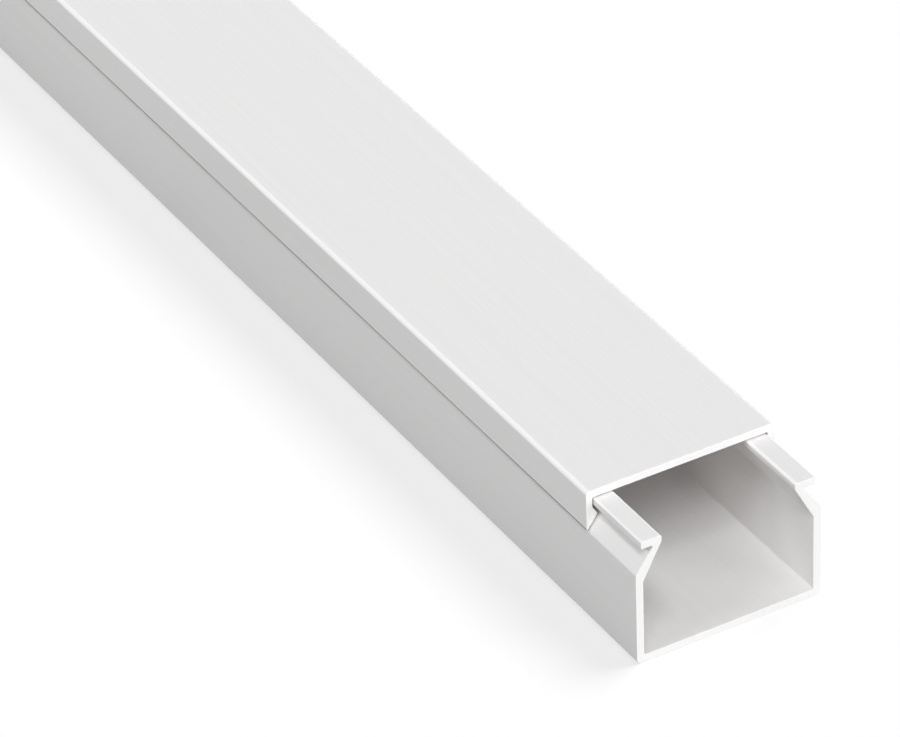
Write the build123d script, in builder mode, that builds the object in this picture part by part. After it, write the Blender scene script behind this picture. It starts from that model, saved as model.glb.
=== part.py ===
from build123d import *

import os

# A two-piece raceway that hides cords along a wall, extruded in white rigid PVC.
# The base channel is fixed by its flat back. Its walls turn inwards near the top and carry a lip each,
# turned outwards. The cover's skirts end in barbs that snap under the lips, and it slides along them.
# The origin is the middle of the base's back, +Y runs along the length and +Z points away from the wall.

# Driving dimensions, in millimetres.
length = 400.0  # base and cover are cut to the same length
cover_setback = 16.0  # from the base's near end to the cover's, where the cover stands slid back
width = 40.0  # across the outside of the cover
height = 28.5  # from the back to the cover's top

floor_thickness = 1.6
wall = 1.55
foot_radius = 1.0  # outside corners along the back
floor_radius = 0.35  # inside corners along the floor

lip_thickness = 1.6
groove_height = 5.35  # from the outer bend of the wall up to the lip
groove_depth = 3.9  # from the wall's outer face in to the root of the lip
neck_thickness = 1.65  # across the top of the sloping wall, where the lip starts
nose_height = 1.3  # upright inner face of the lip
crease_drop = 1.85  # the inner bend lies this far below the outer one, so the wall is thick there
bend_radius = 0.8
crease_radius = 0.3
root_radius = 0.35
lip_radius = 0.35  # outer top corner of the lip, under the cover's inside corner
lip_edge_radius = 0.2
nose_radius = 0.55
nose_foot_radius = 0.25

cover_thickness = 1.6
skirt_thickness = 1.3
barb_drop = 1.7  # from the barb's shelf, beside the skirt, down to its point
cover_radius = 0.8  # outside corners along the cover's top
cover_inner_radius = 0.4
barb_radius = 0.1

cover_overhang = 0.35  # the cover's skirts stand this far outside the base's walls
slide_gap = 0.25  # between the cover and the lips that it slides on, above, beside and below them
seam_gap = 0.15  # the skirt's edge lies this far above the bend of the wall

# Heights above the back, and places across, that both sections share.
half_width = width / 2
wall_face = half_width - cover_overhang
cover_underside = height - cover_thickness
lip_top = cover_underside - slide_gap
lip_underside = lip_top - lip_thickness
bend_height = lip_underside - groove_height
crease_height = bend_height - crease_drop
nose_foot_height = lip_top - nose_height
lip_edge = half_width - skirt_thickness - slide_gap
lip_root = wall_face - groove_depth
nose = lip_root - neck_thickness

# The barb's lower face is parallel to the sloping wall, and its shelf lies just under the lip.
skirt_edge = bend_height + seam_gap
shelf_height = lip_underside - slide_gap
barb_height = shelf_height - barb_drop
barb_inset = (barb_height - skirt_edge) * groove_depth / groove_height

# Half sections, as corners of across, height and radius, from the middle of the piece outwards and back.
base_corners = (
    (0, 0, 0),
    (wall_face, 0, foot_radius),
    (wall_face, bend_height, bend_radius),
    (lip_root, lip_underside, root_radius),
    (lip_edge, lip_underside, lip_edge_radius),
    (lip_edge, lip_top, lip_radius),
    (nose, lip_top, nose_radius),
    (nose, nose_foot_height, nose_foot_radius),
    (wall_face - wall, crease_height, crease_radius),
    (wall_face - wall, floor_thickness, floor_radius),
    (0, floor_thickness, 0),
)
cover_corners = (
    (0, height, 0),
    (half_width, height, cover_radius),
    (half_width, skirt_edge, barb_radius),
    (half_width - barb_inset, barb_height, barb_radius),
    (half_width - skirt_thickness, shelf_height, barb_radius),
    (half_width - skirt_thickness, cover_underside, cover_inner_radius),
    (0, cover_underside, 0),
)

os.makedirs("parts", exist_ok=True)

with BuildPart() as base_channel:
    with BuildSketch(Plane.XZ):
        with BuildLine():
            FilletPolyline(
                *[(across, up) for across, up, radius in base_corners],
                radius=[radius for across, up, radius in base_corners],
                close=True,
            )
        make_face()
        mirror(about=Plane.YZ)
    extrude(amount=length / 2, both=True)
base_channel.part.label = "base_channel"
export_step(base_channel.part, "parts/base_channel.step")

with BuildPart() as cover:
    with BuildSketch(Plane.XZ.offset(-cover_setback)):
        with BuildLine():
            FilletPolyline(
                *[(across, up) for across, up, radius in cover_corners],
                radius=[radius for across, up, radius in cover_corners],
                close=True,
            )
        make_face()
        mirror(about=Plane.YZ)
    extrude(amount=length / 2, both=True)
cover.part.label = "cover"
export_step(cover.part, "parts/cover.step")
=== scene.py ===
import math

import bpy
from mathutils import Euler, Matrix, Vector


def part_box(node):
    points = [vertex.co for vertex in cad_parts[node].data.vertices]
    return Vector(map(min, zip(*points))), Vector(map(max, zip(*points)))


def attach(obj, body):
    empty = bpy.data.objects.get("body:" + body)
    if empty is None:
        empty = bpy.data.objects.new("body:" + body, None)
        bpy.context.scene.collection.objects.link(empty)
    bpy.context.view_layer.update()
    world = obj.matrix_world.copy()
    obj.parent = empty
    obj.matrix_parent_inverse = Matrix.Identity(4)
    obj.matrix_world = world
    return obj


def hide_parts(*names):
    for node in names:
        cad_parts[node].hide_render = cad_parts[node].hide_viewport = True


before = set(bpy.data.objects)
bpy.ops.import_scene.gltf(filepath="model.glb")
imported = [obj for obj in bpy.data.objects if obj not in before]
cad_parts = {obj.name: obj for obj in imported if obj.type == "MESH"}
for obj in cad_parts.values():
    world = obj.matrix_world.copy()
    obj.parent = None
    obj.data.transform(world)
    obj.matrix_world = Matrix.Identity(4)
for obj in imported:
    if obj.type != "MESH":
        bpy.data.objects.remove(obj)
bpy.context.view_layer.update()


# Base channel: the half of the raceway that is fixed to the wall by its flat back.
# It is drawn through a die in one piece of white rigid PVC and sawn to length.
# Its walls turn inwards near the top and end in lips turned outwards, which carry the cover.

MM = 0.001

# Sizes in millimetres: first those of the cover that the lips have to fit, then the base's own.
half_width = 20.0
height = 28.5
cover_thickness = 1.6
skirt_thickness = 1.3
cover_overhang = 0.35
slide_gap = 0.25

floor_thickness = 1.6
wall = 1.55
lip_thickness = 1.6
groove_height = 5.35
groove_depth = 3.9
neck_thickness = 1.65
nose_height = 1.3
crease_drop = 1.85

foot_radius = 1.0
bend_radius = 0.8
root_radius = 0.35
lip_edge_radius = 0.2
lip_radius = 0.35
nose_radius = 0.55
nose_foot_radius = 0.25
crease_radius = 0.3
floor_radius = 0.35

wall_face = half_width - cover_overhang
lip_top = height - cover_thickness - slide_gap
lip_underside = lip_top - lip_thickness
bend_height = lip_underside - groove_height
lip_edge = half_width - skirt_thickness - slide_gap
lip_root = wall_face - groove_depth
nose = lip_root - neck_thickness

# How much painted highlight a rounded corner gets, from 0 to 1: it is painted whiter and made glossier.
no_painted_highlight, faint_painted_highlight, full_painted_highlight = 0.0, 0.3, 1.0

# One half of the section, from the foot up the outside, round the lip and down the inside.
# Each corner is across, up, its radius and how much painted highlight it gets.
base_section = [
    (wall_face, 0.0, foot_radius, faint_painted_highlight),
    (wall_face, bend_height, bend_radius, no_painted_highlight),
    (lip_root, lip_underside, root_radius, no_painted_highlight),
    (lip_edge, lip_underside, lip_edge_radius, no_painted_highlight),
    (lip_edge, lip_top, lip_radius, full_painted_highlight),
    (nose, lip_top, nose_radius, full_painted_highlight),
    (nose, lip_top - nose_height, nose_foot_radius, no_painted_highlight),
    (wall_face - wall, bend_height - crease_drop, crease_radius, no_painted_highlight),
    (wall_face - wall, floor_thickness, floor_radius, no_painted_highlight),
]


def put(tree, kind, links=(), **settings):
    """Adds a node with its settings; links pair an input with a value or with another node's output."""
    node = tree.nodes.new(kind)
    for name, value in settings.items():
        setattr(node, name, value)
    for name, source in dict(links).items():
        if isinstance(source, bpy.types.NodeSocket):
            tree.links.new(source, node.inputs[name])
        else:
            node.inputs[name].default_value = source
    return node


def pigment(code):
    """An sRGB hex colour as linear RGBA."""
    parts = [int(code[i : i + 2], 16) / 255 for i in (1, 3, 5)]
    return [p / 12.92 if p <= 0.04045 else ((p + 0.055) / 1.055) ** 2.4 for p in parts] + [1.0]


# The rule that both halves follow: the section's corners are rounded, the section is drawn along the
# length, and the two sawn ends get a material of their own.
def extrusion_rule():
    tree = bpy.data.node_groups.new("extruded_stock", "GeometryNodeTree")
    sockets = (
        ("Section", "NodeSocketGeometry"),
        ("Near End", "NodeSocketFloat"),
        ("Length", "NodeSocketFloat"),
        ("Step", "NodeSocketFloat"),
        ("Corner Segments", "NodeSocketInt"),
        ("Skin", "NodeSocketMaterial"),
        ("Sawn Face", "NodeSocketMaterial"),
    )
    for name, kind in sockets:
        tree.interface.new_socket(name, in_out="INPUT", socket_type=kind)
    tree.interface.new_socket("Stock", in_out="OUTPUT", socket_type="NodeSocketGeometry")
    given = put(tree, "NodeGroupInput").outputs

    radius = put(tree, "GeometryNodeInputNamedAttribute", {"Name": "corner_radius"}, data_type="FLOAT")
    outline = put(tree, "GeometryNodeMeshToCurve", {"Mesh": given["Section"]})
    rounded = put(
        tree,
        "GeometryNodeFilletCurve",
        {
            "Curve": outline.outputs["Curve"],
            "Count": given["Corner Segments"],
            "Radius": radius.outputs["Attribute"],
        },
        mode="POLY",
    )

    # A curve along +Y carries its section upside down, so it is tilted by half a turn.
    half_turn = math.pi
    far = put(tree, "ShaderNodeMath", {0: given["Near End"], 1: given["Length"]}, operation="ADD")
    start = put(tree, "ShaderNodeCombineXYZ", {"Y": given["Near End"]})
    end = put(tree, "ShaderNodeCombineXYZ", {"Y": far.outputs["Value"]})
    run = put(
        tree,
        "GeometryNodeCurvePrimitiveLine",
        {"Start": start.outputs["Vector"], "End": end.outputs["Vector"]},
    )
    steps = put(
        tree,
        "GeometryNodeResampleCurve",
        {"Curve": run.outputs["Curve"], "Length": given["Step"]},
        mode="LENGTH",
    )
    upright = put(
        tree,
        "GeometryNodeSetCurveTilt",
        {"Curve": steps.outputs["Curve"], "Tilt": half_turn},
    )
    drawn = put(
        tree,
        "GeometryNodeCurveToMesh",
        {
            "Curve": upright.outputs["Curve"],
            "Profile Curve": rounded.outputs["Curve"],
            "Fill Caps": True,
        },
    )

    # A face lies on a rounded corner where all its points come from one corner of the section.
    # Corner numbers are whole, and the share of a face's edges with one number at both ends is 1 there.
    same_number = 0.5
    nearly_all = 0.9
    corner = put(tree, "GeometryNodeInputNamedAttribute", {"Name": "corner_number"}, data_type="INT")
    ends = put(tree, "GeometryNodeInputMeshEdgeVertices")
    first = put(
        tree,
        "GeometryNodeFieldAtIndex",
        {"Value": corner.outputs["Attribute"], "Index": ends.outputs["Vertex Index 1"]},
        data_type="INT",
        domain="POINT",
    )
    second = put(
        tree,
        "GeometryNodeFieldAtIndex",
        {"Value": corner.outputs["Attribute"], "Index": ends.outputs["Vertex Index 2"]},
        data_type="INT",
        domain="POINT",
    )
    apart = put(
        tree,
        "ShaderNodeMath",
        {0: first.outputs["Value"], 1: second.outputs["Value"]},
        operation="SUBTRACT",
    )
    same = put(
        tree,
        "ShaderNodeMath",
        {0: apart.outputs["Value"], 1: 0.0, 2: same_number},
        operation="COMPARE",
    )
    on_edges = put(
        tree,
        "GeometryNodeFieldOnDomain",
        {"Value": same.outputs["Value"]},
        data_type="FLOAT",
        domain="EDGE",
    )
    on_faces = put(
        tree,
        "GeometryNodeFieldOnDomain",
        {"Value": on_edges.outputs["Value"]},
        data_type="FLOAT",
        domain="FACE",
    )
    rounded_face = put(
        tree,
        "ShaderNodeMath",
        {0: on_faces.outputs["Value"], 1: nearly_all},
        operation="GREATER_THAN",
    )
    highlight_share = put(tree, "GeometryNodeInputNamedAttribute", {"Name": "corner_highlight"}, data_type="FLOAT")
    painted_highlight_and_gloss = put(
        tree,
        "ShaderNodeMath",
        {0: rounded_face.outputs["Value"], 1: highlight_share.outputs["Attribute"]},
        operation="MULTIPLY",
    )
    # Painted highlight: the faces of a rounded corner carry that corner's share, so the material paints
    # them whiter and makes them glossier.
    marked = put(
        tree,
        "GeometryNodeStoreNamedAttribute",
        {"Geometry": drawn.outputs["Mesh"], "Name": "painted_highlight_and_gloss", "Value": painted_highlight_and_gloss.outputs["Value"]},
        data_type="FLOAT",
        domain="FACE",
    )

    # Where the saw cut: faces that look along the length, and the edges round them.
    mostly_along = 0.5
    rim_angle = math.radians(80)
    normal = put(tree, "GeometryNodeInputNormal")
    facing = put(tree, "ShaderNodeSeparateXYZ", {"Vector": normal.outputs["Normal"]})
    along = put(tree, "ShaderNodeMath", {0: facing.outputs["Y"]}, operation="ABSOLUTE")
    sawn = put(
        tree,
        "ShaderNodeMath",
        {0: along.outputs["Value"], 1: mostly_along},
        operation="GREATER_THAN",
    )
    turn = put(tree, "GeometryNodeInputMeshEdgeAngle")
    rim = put(
        tree,
        "ShaderNodeMath",
        {0: turn.outputs["Unsigned Angle"], 1: rim_angle},
        operation="GREATER_THAN",
    )
    smooth = put(
        tree,
        "GeometryNodeSetShadeSmooth",
        {"Geometry": marked.outputs["Geometry"], "Shade Smooth": True},
    )
    crisp = put(
        tree,
        "GeometryNodeSetShadeSmooth",
        {
            "Geometry": smooth.outputs["Geometry"],
            "Selection": rim.outputs["Value"],
            "Shade Smooth": False,
        },
        domain="EDGE",
    )
    rimmed = put(
        tree,
        "GeometryNodeStoreNamedAttribute",
        {
            "Geometry": crisp.outputs["Geometry"],
            "Name": "bevel_weight_edge",
            "Value": rim.outputs["Value"],
        },
        data_type="FLOAT",
        domain="EDGE",
    )
    whole = put(tree, "GeometryNodeRealizeInstances", {"Geometry": rimmed.outputs["Geometry"]})
    skinned = put(
        tree,
        "GeometryNodeSetMaterial",
        {"Geometry": whole.outputs["Geometry"], "Material": given["Skin"]},
    )
    ended = put(
        tree,
        "GeometryNodeSetMaterial",
        {
            "Geometry": skinned.outputs["Geometry"],
            "Selection": sawn.outputs["Value"],
            "Material": given["Sawn Face"],
        },
    )
    put(tree, "NodeGroupOutput", {"Stock": ended.outputs["Geometry"]})
    return tree


stock_rule = extrusion_rule()
ring_spacing = 20.0  # between the rings of points along the length
corner_segments = 10  # steps round each rounded corner
rim_width = 0.06  # of the scraped chamfer round a sawn end
rim_segments = 2
largest_face_first = 100  # the top of the modifier's scale


def draw_stock(name, half_section, near_end, length, skin, sawn_face):
    """Draws a half section and its mirror image along the length, from near_end, as one closed solid."""
    mirrored = [(-across, up, radius, highlight_share) for across, up, radius, highlight_share in reversed(half_section)]
    loop = half_section + mirrored
    count = len(loop)
    section = bpy.data.meshes.new(name + "_section")
    section.from_pydata(
        [(across * MM, up * MM, 0.0) for across, up, radius, highlight_share in loop],
        [(i, (i + 1) % count) for i in range(count)],
        [],
    )
    radii = section.attributes.new("corner_radius", "FLOAT", "POINT")
    radii.data.foreach_set("value", [radius * MM for across, up, radius, highlight_share in loop])
    highlight_shares = section.attributes.new("corner_highlight", "FLOAT", "POINT")
    highlight_shares.data.foreach_set("value", [highlight_share for across, up, radius, highlight_share in loop])
    numbers = section.attributes.new("corner_number", "INT", "POINT")
    numbers.data.foreach_set("value", range(count))

    drawing = bpy.data.objects.new(name + "_drawing", section)
    bpy.context.scene.collection.objects.link(drawing)
    modifier = drawing.modifiers.new("extrude", "NODES")
    modifier.node_group = stock_rule
    wanted = {
        "Near End": near_end,
        "Length": length,
        "Step": ring_spacing * MM,
        "Corner Segments": corner_segments,
        "Skin": skin,
        "Sawn Face": sawn_face,
    }
    for item in stock_rule.interface.items_tree:
        if item.in_out == "INPUT" and item.name in wanted:
            modifier[item.identifier] = wanted[item.name]
    depsgraph = bpy.context.evaluated_depsgraph_get()
    mesh = bpy.data.meshes.new_from_object(drawing.evaluated_get(depsgraph))
    mesh.name = name
    bpy.data.objects.remove(drawing)

    stock = bpy.data.objects.new(name, mesh)
    bpy.context.scene.collection.objects.link(stock)
    # The saw's burr is scraped off, which leaves a narrow chamfer round each end.
    scraped = stock.modifiers.new("scraped_rim", "BEVEL")
    scraped.limit_method = "WEIGHT"
    scraped.width = rim_width * MM
    scraped.segments = rim_segments
    # Flat faces keep their own normal beside the rounded corners.
    flats = stock.modifiers.new("true_flats", "WEIGHTED_NORMAL")
    flats.mode = "FACE_AREA"
    flats.weight = largest_face_first
    flats.keep_sharp = True
    return stock


rigid_pvc_ior = 1.53
# Most of a noise's values lie between these two, so the patterns use that range.
noise_low, noise_high = 0.3, 0.7


# Extruded rigid PVC, white, as it leaves the die: satin, with faint lines along the length from the die's
# edge and a slow waviness from cooling. They show only as a slight streak in the sheen, and the lines are
# drawn coarser than most real ones, so that they show at all.
# The outer rounded corners are painted whiter than the flats, a painted highlight, and are made glossier.
# Below the given height, in millimetres, the edge is painted grey, a painted shade that stands for the
# seam's shadow, and is made matt.
def extruded_pvc(name, seed, seam_shade_below):
    line_pitch, line_run, line_depth = 0.45 * MM, 90 * MM, 0.008 * MM
    wave_pitch, wave_run, wave_depth = 9 * MM, 45 * MM, 0.06 * MM
    grain_pitch, grain_depth = 0.25 * MM, 0.004 * MM
    streak_strength, grain_strength = 0.25, 0.2
    glossiest, mattest = 0.34, 0.42
    highlight_corner_roughness = 0.27
    seam_band_roughness = 0.7
    seam_shade_fade = 0.12
    lightest_seam_shade = 0.75

    material = bpy.data.materials.new(name)
    material.use_nodes = True
    tree = material.node_tree
    tree.nodes.clear()
    place = put(tree, "ShaderNodeTexCoord").outputs["Object"]
    lines_at = put(
        tree,
        "ShaderNodeMapping",
        {
            "Vector": place,
            "Location": (seed, 0, 0),
            "Scale": (1 / line_pitch, 1 / line_run, 1 / line_pitch),
        },
    )
    lines = put(
        tree,
        "ShaderNodeTexNoise",
        {"Vector": lines_at.outputs["Vector"], "Scale": 1.0, "Detail": 3.0, "Roughness": 0.6},
    )
    waves_at = put(
        tree,
        "ShaderNodeMapping",
        {
            "Vector": place,
            "Location": (0, seed, 0),
            "Scale": (1 / wave_pitch, 1 / wave_run, 1 / wave_pitch),
        },
    )
    waves = put(
        tree,
        "ShaderNodeTexNoise",
        {"Vector": waves_at.outputs["Vector"], "Scale": 1.0, "Detail": 1.0},
    )
    grain = put(
        tree,
        "ShaderNodeTexNoise",
        {"Vector": place, "Scale": 1 / grain_pitch, "Detail": 2.0},
    )
    tint = put(tree, "ShaderNodeValToRGB", {"Fac": lines.outputs["Fac"]})
    tint.color_ramp.elements[0].position = noise_low
    tint.color_ramp.elements[0].color = pigment("#E9E6E4")
    tint.color_ramp.elements[1].position = noise_high
    tint.color_ramp.elements[1].color = pigment("#EDEAE8")
    sheen = put(
        tree,
        "ShaderNodeMapRange",
        {
            "Value": lines.outputs["Fac"],
            "From Min": noise_low,
            "From Max": noise_high,
            "To Min": glossiest,
            "To Max": mattest,
        },
    )

    # A Mix node's sockets go by number, because its colours and its numbers share their names.
    share, number_a, number_b, colour_a, colour_b = 0, 2, 3, 6, 7
    mixed_number, mixed_colour = 0, 2
    # Painted highlight: the marked rounded corners are painted a whiter colour than the flats, and are made
    # glossier.
    painted_highlight_and_gloss = put(tree, "ShaderNodeAttribute", attribute_name="painted_highlight_and_gloss").outputs["Fac"]
    painted_highlight = put(
        tree,
        "ShaderNodeMix",
        {share: painted_highlight_and_gloss, colour_a: tint.outputs["Color"], colour_b: pigment("#FAF7F5")},
        data_type="RGBA",
    )
    burnished = put(
        tree,
        "ShaderNodeMix",
        {share: painted_highlight_and_gloss, number_a: sheen.outputs["Result"], number_b: highlight_corner_roughness},
        data_type="FLOAT",
    )
    # Painted shade: below the given height the skin is painted grey, patchy along the length, to stand for
    # the seam's shadow, and is made matt.
    up = put(tree, "ShaderNodeSeparateXYZ", {"Vector": place}).outputs["Z"]
    low_down = put(
        tree,
        "ShaderNodeMapRange",
        {"Value": up, "From Min": (seam_shade_below + seam_shade_fade) * MM, "From Max": seam_shade_below * MM},
    )
    patchy = put(
        tree,
        "ShaderNodeMapRange",
        {
            "Value": waves.outputs["Fac"],
            "From Min": noise_low,
            "From Max": noise_high,
            "To Min": lightest_seam_shade,
            "To Max": 1.0,
        },
    )
    painted_seam_shade = put(
        tree,
        "ShaderNodeMath",
        {0: low_down.outputs["Result"], 1: patchy.outputs["Result"]},
        operation="MULTIPLY",
    ).outputs["Value"]
    seam_shaded = put(
        tree,
        "ShaderNodeMix",
        {share: painted_seam_shade, colour_a: painted_highlight.outputs[mixed_colour], colour_b: pigment("#8B8784")},
        data_type="RGBA",
    )
    dulled = put(
        tree,
        "ShaderNodeMix",
        {share: painted_seam_shade, number_a: burnished.outputs[mixed_number], number_b: seam_band_roughness},
        data_type="FLOAT",
    )

    ripple = put(
        tree,
        "ShaderNodeBump",
        {"Strength": streak_strength, "Distance": wave_depth, "Height": waves.outputs["Fac"]},
    )
    streak = put(
        tree,
        "ShaderNodeBump",
        {
            "Strength": streak_strength,
            "Distance": line_depth,
            "Height": lines.outputs["Fac"],
            "Normal": ripple.outputs["Normal"],
        },
    )
    speck = put(
        tree,
        "ShaderNodeBump",
        {
            "Strength": grain_strength,
            "Distance": grain_depth,
            "Height": grain.outputs["Fac"],
            "Normal": streak.outputs["Normal"],
        },
    )
    skin = put(
        tree,
        "ShaderNodeBsdfPrincipled",
        {
            "Base Color": seam_shaded.outputs[mixed_colour],
            "Roughness": dulled.outputs[mixed_number],
            "IOR": rigid_pvc_ior,
            "Normal": speck.outputs["Normal"],
        },
    )
    put(tree, "ShaderNodeOutputMaterial", {"Surface": skin.outputs["BSDF"]})
    return material


# Sawn PVC: the blade leaves a matt, whiter face than the die does, crossed by its shallow marks.
# The marks are drawn a little coarser than a fine blade's, so that they show.
def sawn_pvc(name, seed):
    mark_pitch, mark_run, mark_depth = 0.5 * MM, 14 * MM, 0.02 * MM
    mark_lean = math.radians(24)
    mark_strength = 0.3
    glossiest, mattest = 0.62, 0.78

    material = bpy.data.materials.new(name)
    material.use_nodes = True
    tree = material.node_tree
    tree.nodes.clear()
    place = put(tree, "ShaderNodeTexCoord").outputs["Object"]
    marks_at = put(
        tree,
        "ShaderNodeMapping",
        {
            "Vector": place,
            "Location": (seed, 0, 0),
            "Rotation": (0, mark_lean, 0),
            "Scale": (1 / mark_pitch, 1, 1 / mark_run),
        },
    )
    marks = put(
        tree,
        "ShaderNodeTexNoise",
        {"Vector": marks_at.outputs["Vector"], "Scale": 1.0, "Detail": 3.0, "Roughness": 0.65},
    )
    tint = put(tree, "ShaderNodeValToRGB", {"Fac": marks.outputs["Fac"]})
    tint.color_ramp.elements[0].position = noise_low
    tint.color_ramp.elements[0].color = pigment("#F3F0EE")
    tint.color_ramp.elements[1].position = noise_high
    tint.color_ramp.elements[1].color = pigment("#F8F5F3")
    cut = put(
        tree,
        "ShaderNodeBump",
        {"Strength": mark_strength, "Distance": mark_depth, "Height": marks.outputs["Fac"]},
    )
    rough = put(
        tree,
        "ShaderNodeMapRange",
        {
            "Value": marks.outputs["Fac"],
            "From Min": noise_low,
            "From Max": noise_high,
            "To Min": glossiest,
            "To Max": mattest,
        },
    )
    face = put(
        tree,
        "ShaderNodeBsdfPrincipled",
        {
            "Base Color": tint.outputs["Color"],
            "Roughness": rough.outputs["Result"],
            "IOR": rigid_pvc_ior,
            "Normal": cut.outputs["Normal"],
        },
    )
    put(tree, "ShaderNodeOutputMaterial", {"Surface": face.outputs["BSDF"]})
    return material


# The base has no painted seam shade, so its grey band ends below the back.
base_seed = 3.0
below_the_back = -1.0
base_low, base_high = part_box("base_channel")
base_skin = extruded_pvc("extruded_white_pvc_base", base_seed, below_the_back)
base_sawn = sawn_pvc("sawn_white_pvc_base", base_seed)
raceway_base = draw_stock(
    "raceway_base", base_section, base_low.y, base_high.y - base_low.y, base_skin, base_sawn
)
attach(raceway_base, "base")
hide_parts("base_channel")


# Cover: the flat strip that closes the channel, drawn from the same white rigid PVC.
# Its skirts hang outside the base's lips and end in barbs that clip under them.
# It slides along the lips, and stands slid back from the near end of the base.

barb_drop = 1.7
seam_gap = 0.15
cover_radius = 0.8
cover_inner_radius = 0.4
barb_radius = 0.1

# The barb's lower face is parallel to the base's sloping wall.
skirt_edge = bend_height + seam_gap
shelf = lip_underside - slide_gap
barb = shelf - barb_drop
barb_inset = (barb - skirt_edge) * groove_depth / groove_height

# One half of the section, from the inside corner down the skirt, round the barb and up the outside.
cover_section = [
    (half_width - skirt_thickness, height - cover_thickness, cover_inner_radius, no_painted_highlight),
    (half_width - skirt_thickness, shelf, barb_radius, no_painted_highlight),
    (half_width - barb_inset, barb, barb_radius, no_painted_highlight),
    (half_width, skirt_edge, barb_radius, no_painted_highlight),
    (half_width, height, cover_radius, full_painted_highlight),
]
cover_seed = 11.0
# The cover's skirt edge is painted grey, a painted shade for the seam, up to this height above it, in
# millimetres.
seam_shade_height = 0.50
cover_low, cover_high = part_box("cover")
cover_skin = extruded_pvc("extruded_white_pvc_cover", cover_seed, skirt_edge + seam_shade_height)
cover_sawn = sawn_pvc("sawn_white_pvc_cover", cover_seed)
raceway_cover = draw_stock(
    "raceway_cover", cover_section, cover_low.y, cover_high.y - cover_low.y, cover_skin, cover_sawn
)
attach(raceway_cover, "cover")
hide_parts("cover")


# Floor: a plain pale studio floor under the raceway's back, wide enough to have no edge in view.
# The camera sees it as white paper, with the raceway's own shadow on it.

floor_half = 9.0
floor_mesh = bpy.data.meshes.new("studio_floor")
floor_mesh.from_pydata(
    [(x * floor_half, y * floor_half, 0) for x, y in ((-1, -1), (1, -1), (1, 1), (-1, 1))],
    [],
    [(0, 1, 2, 3)],
)
studio_floor = bpy.data.objects.new("studio_floor", floor_mesh)
bpy.context.scene.collection.objects.link(studio_floor)


def shown_rays(tree):
    """Gives 1 for what the camera sees, straight or in a reflection, and 0 for light on its way."""
    path = put(tree, "ShaderNodeLightPath").outputs
    direct = put(
        tree,
        "ShaderNodeMath",
        {0: path["Is Camera Ray"], 1: path["Is Glossy Ray"]},
        operation="MAXIMUM",
    )
    shown = put(
        tree,
        "ShaderNodeMath",
        {0: direct.outputs["Value"], 1: path["Is Transmission Ray"]},
        operation="MAXIMUM",
    )
    return shown.outputs["Value"]


# Matt white paper, drawn as a grey that takes the light and the shadow, and a glow that lifts what the
# camera sees of it to white. The grey throws less light back at the raceway than white would.
glow_level = 0.701
plain_white = (1, 1, 1, 1)
paper = bpy.data.materials.new("white_paper_floor")
paper.use_nodes = True
tree = paper.node_tree
tree.nodes.clear()
shown = shown_rays(tree)
paper_glow = put(tree, "ShaderNodeMath", {0: shown, 1: glow_level}, operation="MULTIPLY")
glow = put(
    tree,
    "ShaderNodeEmission",
    {"Color": plain_white, "Strength": paper_glow.outputs["Value"]},
)
matt = put(tree, "ShaderNodeBsdfDiffuse", {"Color": pigment("#A19F9E")})
both = put(tree, "ShaderNodeAddShader", {0: matt.outputs["BSDF"], 1: glow.outputs["Emission"]})
put(tree, "ShaderNodeOutputMaterial", {"Surface": both.outputs["Shader"]})
floor_mesh.materials.append(paper)


# Studio light: an even white surround, and broad soft lamps far enough off to light the whole length alike.
# Each lamp's level is the share of white that it gives a white face turned towards it.
# The light is a trace cooler than white, so the lit PVC looks neutral and its shaded inside a little warm.

daylight = pigment("#FAFDFF")
ambient_level = 0.31
white_level = 1.0
surround = bpy.data.worlds.new("white_surround")
surround.use_nodes = True
tree = surround.node_tree
tree.nodes.clear()
ambient = put(tree, "ShaderNodeBackground", {"Color": daylight, "Strength": ambient_level})
white = put(tree, "ShaderNodeBackground", {"Color": plain_white, "Strength": white_level})
either = put(
    tree,
    "ShaderNodeMixShader",
    {0: shown_rays(tree), 1: ambient.outputs["Background"], 2: white.outputs["Background"]},
)
put(tree, "ShaderNodeOutputWorld", {"Surface": either.outputs["Shader"]})
bpy.context.scene.world = surround

# The raceway and the floor have lamps of their own, so that the floor keeps a single soft shadow.
lit_raceway = bpy.data.collections.new("lit_raceway")
lit_raceway.objects.link(raceway_base)
lit_raceway.objects.link(raceway_cover)
lit_floor = bpy.data.collections.new("lit_floor")
lit_floor.objects.link(studio_floor)

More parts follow.
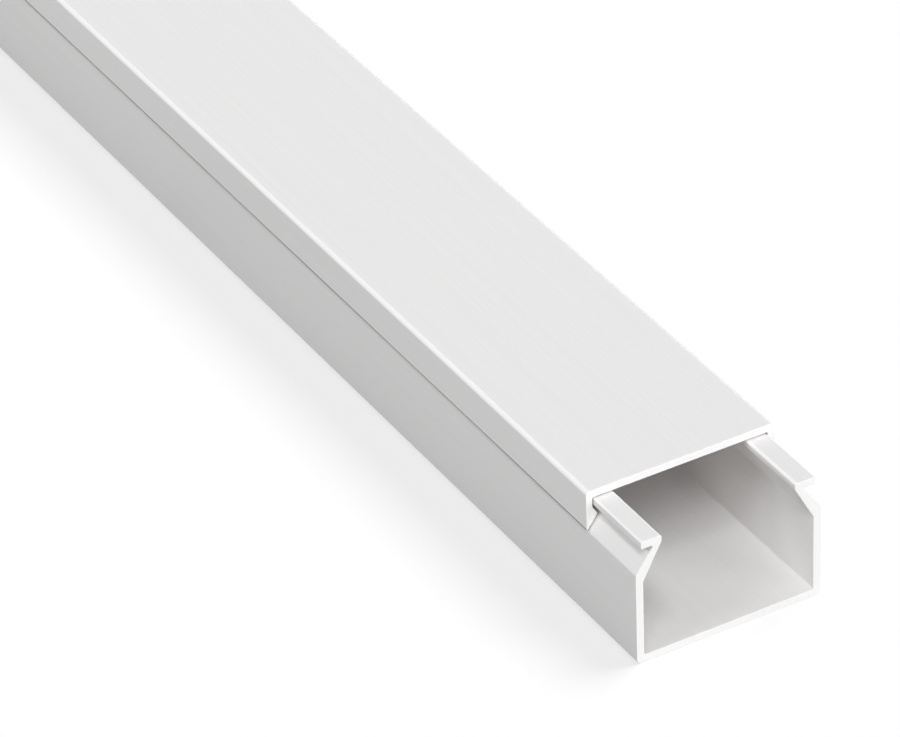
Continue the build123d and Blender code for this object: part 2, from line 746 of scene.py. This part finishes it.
# Each lamp: name, the direction towards it, its level, its spread in degrees, and what it lights.
# The fills light the inside and the sides turned away from the key, and leave no gleam on the satin top.
lamps = [
    ("front_on_cut_ends", (-0.06, -0.95, 0.14), 0.36, 25, lit_raceway),
    ("fill_from_front_right", (0.60, -0.80, 0.30), 0.25, 25, lit_raceway),
    ("fill_from_right", (0.99, 0.10, 0.07), 0.18, 7, lit_raceway),
    ("fill_from_back", (0.05, 0.99, 0.07), 0.30, 7, lit_raceway),
    ("shadow_from_right", (0.45, 0.0, 0.91), 0.635, 29, lit_floor),
]
# The key is two strip lights parallel to the raceway, above it on the left, each a row of lamps.
# Each strip: how far across and up it stands, how far its lamps lean along the length, and their level.
strip_spread = 12
strips = (
    ("high_strip", -0.30, 0.95, (-0.85, -0.60, -0.35), 0.152),
    ("low_strip", -0.78, 0.62, (-0.10, 0.15), 0.127),
)
for strip, across, up, leans, level in strips:
    for number, lean in enumerate(leans, 1):
        lamps.append((f"{strip}_{number}", (across, lean, up), level, strip_spread, lit_raceway))

lamp_distance = 3.0
for name, towards, level, spread, lights in lamps:
    light = bpy.data.lights.new(name, "SUN")
    light.energy = math.pi * level
    light.color = daylight[:3]
    light.angle = math.radians(spread)
    lamp = bpy.data.objects.new(name, light)
    lamp.rotation_euler = Vector(towards).to_track_quat("Z", "Y").to_euler()
    lamp.location = Vector(towards).normalized() * lamp_distance
    lamp.light_linking.receiver_collection = lights
    lamp.visible_glossy = not name.startswith("fill")
    bpy.context.scene.collection.objects.link(lamp)

bpy.context.scene.view_settings.view_transform = "Standard"


# Camera: a long lens from the front left, looking down at the middle of the back, near the open end.
# It stands about a metre off, so the long edges draw together only a little.

azimuth, elevation, roll = math.radians(-29.097), math.radians(34.350), math.radians(-2.303)
aim_across, aim_from_near_end = -0.2 * MM, 99.6 * MM
aim = Vector((aim_across, base_low.y + aim_from_near_end, 0.0))
distance = 1.0895
lens = bpy.data.cameras.new("studio_camera")
lens.sensor_fit = "HORIZONTAL"
lens.sensor_width = 36.0
lens.lens = 225.2
lens.clip_start, lens.clip_end = 0.05, 30.0
pointed = Euler((math.pi / 2 - elevation, 0, azimuth)).to_matrix().to_4x4()
turned = pointed @ Matrix.Rotation(roll, 4, "Z")
studio_camera = bpy.data.objects.new("studio_camera", lens)
studio_camera.matrix_world = Matrix.Translation(aim + turned.col[2].to_3d() * distance) @ turned
bpy.context.scene.collection.objects.link(studio_camera)
bpy.context.scene.camera = studio_camera
